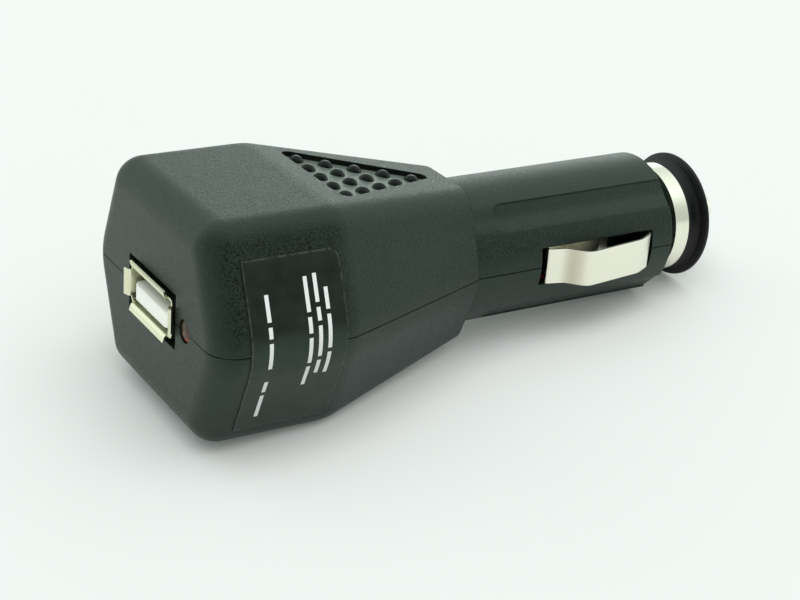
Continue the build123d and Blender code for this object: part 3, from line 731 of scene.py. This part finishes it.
def coil_wire():
    """Points and faces of a round wire that winds about the X axis."""
    run = coil_length - 2 * wire_radius
    points = []
    for i in range(coil_steps + 1):
        turn = pi / 2 + 2 * pi * coil_turns * i / coil_steps
        outward = Vector((0, cos(turn), sin(turn)))
        around_axis = Vector((0, -sin(turn), cos(turn)))
        ahead = Vector((run, 0, 0)) + around_axis * 2 * pi * coil_turns * coil_radius
        sideways = outward.cross(ahead.normalized())
        centre = Vector((coil_back + wire_radius + run * i / coil_steps, 0, 0)) + outward * coil_radius
        for j in range(wire_sides):
            around = 2 * pi * j / wire_sides
            points.append(centre + (outward * cos(around) + sideways * sin(around)) * wire_radius)
    faces = [list(range(wire_sides)), list(range(len(points) - 1, len(points) - 1 - wire_sides, -1))]
    for i in range(0, len(points) - wire_sides, wire_sides):
        for j in range(wire_sides):
            k = (j + 1) % wire_sides
            faces.append([i + j, i + wire_sides + j, i + wire_sides + k, i + k])
    return points, faces


coil = add_mesh("coil_spring", *coil_wire(), finishes["spring_steel"], "root", "spring_steel")
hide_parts("pin_spring")
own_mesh(coil)

# Lamp: a round lens with a domed end
lamp_low, lamp_high = [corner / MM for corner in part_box("indicator_led")]
lamp_radius = lamp_high.z
lamp_y = (lamp_low.y + lamp_high.y) / 2
lamp_segments = 48
lens_dome = 0.3
lens_steps = 14
lens_turns = [pi / 2 * i / lens_steps for i in range(1, lens_steps + 1)]
lens_profile = (
    [(lamp_low.x, 0)]
    + [(lamp_low.x + lens_dome * (1 - cos(a)), lamp_radius * sin(a)) for a in lens_turns]
    + [(lamp_high.x, lamp_radius), (lamp_high.x, 0)]
)
lens_mesh = lathe(lens_profile, lamp_y, lamp_segments)
lens = add_mesh("lamp_lens", *lens_mesh, finishes["lamp_red"], "root", "lamp_red")
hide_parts("indicator_led")

# Side contacts: leaf springs folded back at the window's near end and hooked under its far end
leaf_thickness = 0.3
leaf_half_width = 2.65
leaf_tail_half_width = 4.1
leaf_inner_out = 9.4
leaf_foot_x = 30.55
leaf_tail_x = 22.4
leaf_tail_end = 24.8
leaf_tail_ramp = 0.8
leaf_fold_out = 10.25
leaf_hollow_x = leaf_fold_x + 2.7
leaf_hollow_out = 10.9
leaf_crest_x = leaf_fold_x + 5.1
leaf_crest_out = 13.3
leaf_heel_x = leaf_foot_x - 3.15
leaf_heel_out = 12.1
leaf_knee_x = leaf_foot_x - 0.25
leaf_knee_out = 10.6
leaf_foot_end = leaf_foot_x + 2.0
bore_radius = 8.7
leaf_rest = 0.27
leaf_foot_out = sqrt(bore_radius**2 - leaf_half_width**2) - leaf_rest
leaf_tail_out = sqrt(bore_radius**2 - leaf_tail_half_width**2) - leaf_rest
plate_lap = 0.05
tail_front_x = leaf_tail_x + leaf_thickness

# Corners of the leaf: place along the barrel, distance out from its axis, radius of the bend
leaf_route = [
    (tail_front_x + plate_lap, leaf_tail_out, 0),
    (leaf_tail_x, leaf_tail_out, 0.2),
    (leaf_tail_x - leaf_tail_ramp, leaf_inner_out, 0.3),
    (leaf_fold_x, leaf_inner_out, 0.2),
    (leaf_fold_x, leaf_fold_out, 0.4),
    (leaf_hollow_x, leaf_hollow_out, 2.0),
    (leaf_crest_x, leaf_crest_out, 2.2),
    (leaf_heel_x, leaf_heel_out, 2.5),
    (leaf_knee_x, leaf_knee_out, 0.9),
    (leaf_foot_x, leaf_foot_out, 0.3),
    (leaf_foot_end, leaf_foot_out, 0),
]
tail_path = [Vector((leaf_tail_end, leaf_tail_out)), Vector((tail_front_x, leaf_tail_out))]


def leaf_contact(name, side, body, node):
    """The leaf on the far (1) or the near (-1) side, with the wide plate at its tail."""
    leaf = folded_sheet(rounded_path(leaf_route), leaf_thickness, leaf_half_width)
    tail = folded_sheet(tail_path, leaf_thickness, leaf_tail_half_width)
    points, faces = join(leaf, tail)
    placed = [(along, side * out, across) for along, out, across in points]
    spring = add_mesh(name, placed, faces, leaf_nickel, body, "nickel")
    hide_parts(node)


leaf_contact("near_leaf", -1, "near_contact", "side_contact_near")
leaf_contact("far_leaf", 1, "far_contact", "side_contact_far")

# Socket shell: a folded sheet tube with four flared lips and two earthing tabs
shell_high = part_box("usb_shell")[1] / MM
sheet = 0.3
shell_half_width = 6.57
shell_half_height = 2.86
shell_corner = 0.7
shell_corner_steps = 6
lip_root = 0.35
lip_bend = 0.35
lip_lean = 0.30
long_lip_half = 5.5
long_lip_reach = 0.92
short_lip_half = 1.95
short_lip_reach = 0.95
tab_x = (-35.5, -33.9)


def shell_ring(x, inset):
    """Rounded rectangle of the tube at an x, set in by some depth."""
    half_width = shell_half_width - shell_corner
    half_height = shell_half_height - shell_corner
    ring = []
    for quarter, (a, b) in enumerate(((1, 1), (-1, 1), (-1, -1), (1, -1))):
        centre = (a * half_width, b * half_height)
        start = 90 * quarter
        corner = arc(centre, shell_corner - inset, start, start + 90, shell_corner_steps)
        ring += [(x, y, z) for y, z in corner]
    return ring


def shell_tube():
    """The tube, open at both ends."""
    front = shell_mouth_x + lip_root
    back = shell_high.x
    loops = [shell_ring(front, 0), shell_ring(back, 0), shell_ring(back, sheet), shell_ring(front, sheet)]
    count = len(loops[0])
    faces = []
    for loop in range(4):
        following = (loop + 1) % 4
        for i in range(count):
            j = (i + 1) % count
            faces.append([loop * count + i, loop * count + j, following * count + j, following * count + i])
    return [point for loop in loops for point in loop], faces


def shell_lip(half_size, reach, half_width):
    """One lip, in (along, out, across)."""
    middle = half_size - sheet / 2
    route = [
        (shell_mouth_x + lip_root, middle, 0),
        (shell_mouth_x, middle, lip_bend),
        (shell_mouth_x - lip_lean, middle + reach, 0),
    ]
    return folded_sheet(rounded_path(route), sheet, half_width)


def turned(part, swap_axes, side):
    """A lip turned to the top or bottom (axes swapped) or to a side."""
    points, faces = part
    if swap_axes:
        return [(along, across, side * out) for along, out, across in points], faces
    return [(along, side * out, across) for along, out, across in points], faces


def tab(side):
    """Earthing tab that stands up through the board, its width of -1 to 1 spread from foot to top."""
    out = side * (shell_half_width - sheet / 2)
    foot = shell_half_height - shell_corner - plate_lap
    rise = (shell_high.z - foot) / 2
    points, faces = folded_sheet([Vector((x, 0)) for x in tab_x], sheet, 1.0)
    return [(along, out + depth, foot + rise * (across + 1)) for along, depth, across in points], faces


long_lip = shell_lip(shell_half_height, long_lip_reach, long_lip_half)
short_lip = shell_lip(shell_half_width, short_lip_reach, short_lip_half)
shell_parts = [shell_tube()]
for side in (1, -1):
    shell_parts += [turned(long_lip, True, side), turned(short_lip, False, side), tab(side)]
socket = add_mesh("socket_shell", *join(*shell_parts), shaded_usb_nickel, "root", "nickel")
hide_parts("usb_shell")

# Floor: touches the underside of the ridge and the end of the barrel
rest_tilt = atan((head_half_height - barrel_radius) / (barrel_length - ridge_x))
floor_half = 1500.0
floor_along = Vector((cos(rest_tilt), 0, sin(rest_tilt))) * floor_half
floor_across = Vector((0, floor_half, 0))
floor_point = Vector((ridge_x, 0, -head_half_height))
floor_glow = (0.88, 1.0, 0.92, 1)
floor_finish = simple(
    "floor", grey(0.52), 0.8, grain_mm=40.0, depth_mm=0.0, spread=0.01,
    Emission_Color=floor_glow, Emission_Strength=0.09,
)
floor = flat_quad("floor", floor_point, floor_along, floor_across, floor_finish)

# Light: a wide soft roof over the plug, a little from the near side, that no surface mirrors
roof_direction = Vector((0.08, 0.40, -0.90))
key = bpy.data.lights.new("tent_roof", "SUN")
key.energy = 2.55
key.angle = radians(70)
roof = bpy.data.objects.new("tent_roof", key)
roof.visible_glossy = False
roof.rotation_euler = roof_direction.to_track_quat("-Z", "Y").to_euler()
bpy.context.scene.collection.objects.link(roof)

# Tent walls: bright all round, with a bright spot low on the far side
tent_tint = (0.91, 1.0, 0.95)
far_side = Vector((0.56, 0.80, 0.16)).normalized()

# Brightness of the walls: place from the near side (0) to the bright spot (1), and level there
wall_levels = ((0.0, 0.50), (0.45, 0.68), (0.62, 1.40), (0.93, 0.90), (0.984, 0.90), (0.996, 2.6))
world = bpy.data.worlds.new("tent")
world.use_nodes = True
sky = world.node_tree
direction = sky.nodes.new("ShaderNodeTexCoord").outputs["Generated"]
facing = sky.nodes.new("ShaderNodeVectorMath")
facing.operation = "DOT_PRODUCT"
facing.inputs[1].default_value = far_side
sky.links.new(direction, facing.inputs[0])
shifted = sky.nodes.new("ShaderNodeMapRange")
shifted.inputs["From Min"].default_value = -1
sky.links.new(facing.outputs["Value"], shifted.inputs["Value"])
walls = sky.nodes.new("ShaderNodeValToRGB")
walls.color_ramp.elements.remove(walls.color_ramp.elements[1])
for place, level in wall_levels:
    step = walls.color_ramp.elements.new(place) if place else walls.color_ramp.elements[0]
    step.color = [shade * level for shade in tent_tint] + [1]
sky.links.new(shifted.outputs["Result"], walls.inputs["Fac"])
sky.links.new(walls.outputs["Color"], sky.nodes["Background"].inputs["Color"])
bpy.context.scene.world = world
bpy.context.scene.view_settings.view_transform = "Standard"

# Dark flag on the near side: only reflections see it, and it keeps the front flank dark
flag_centre = Vector((0.0, -150.0, 55.0))
flag_along = Vector((130.0, 0, 0))
flag_up = Vector((0, 0, 85.0))
flag_finish = simple("flag", grey(0.01), 0.9, grain_mm=20.0, depth_mm=0.0)
flag = flat_quad("flag", flag_centre, flag_along, flag_up, flag_finish)
flag.visible_camera = False
flag.visible_diffuse = False
flag.visible_transmission = False
flag.visible_shadow = False

# Camera at the photograph's angle
azimuth = radians(-32.79)
elevation = radians(24.48)
roll = radians(4.6)
focal_px = 1739.2
image_width_px = 800
sensor_mm = 36.0
camera_mm = (-129.3, -191.7, 97.2)
back = Vector((sin(azimuth) * cos(elevation), -cos(azimuth) * cos(elevation), sin(elevation)))
level = Vector((cos(azimuth), sin(azimuth), 0))
up = back.cross(level)
right = level * cos(roll) + up * sin(roll)
top = up * cos(roll) - level * sin(roll)
camera_data = bpy.data.cameras.new("camera")
camera_data.sensor_width = sensor_mm
camera_data.lens = focal_px / image_width_px * sensor_mm
camera_data.clip_start = 0.005
camera = bpy.data.objects.new("camera", camera_data)
turn = Matrix((right, top, back)).transposed().to_4x4()
camera.matrix_world = Matrix.Translation(Vector(camera_mm) * MM) @ turn
bpy.context.scene.collection.objects.link(camera)
bpy.context.scene.camera = camera
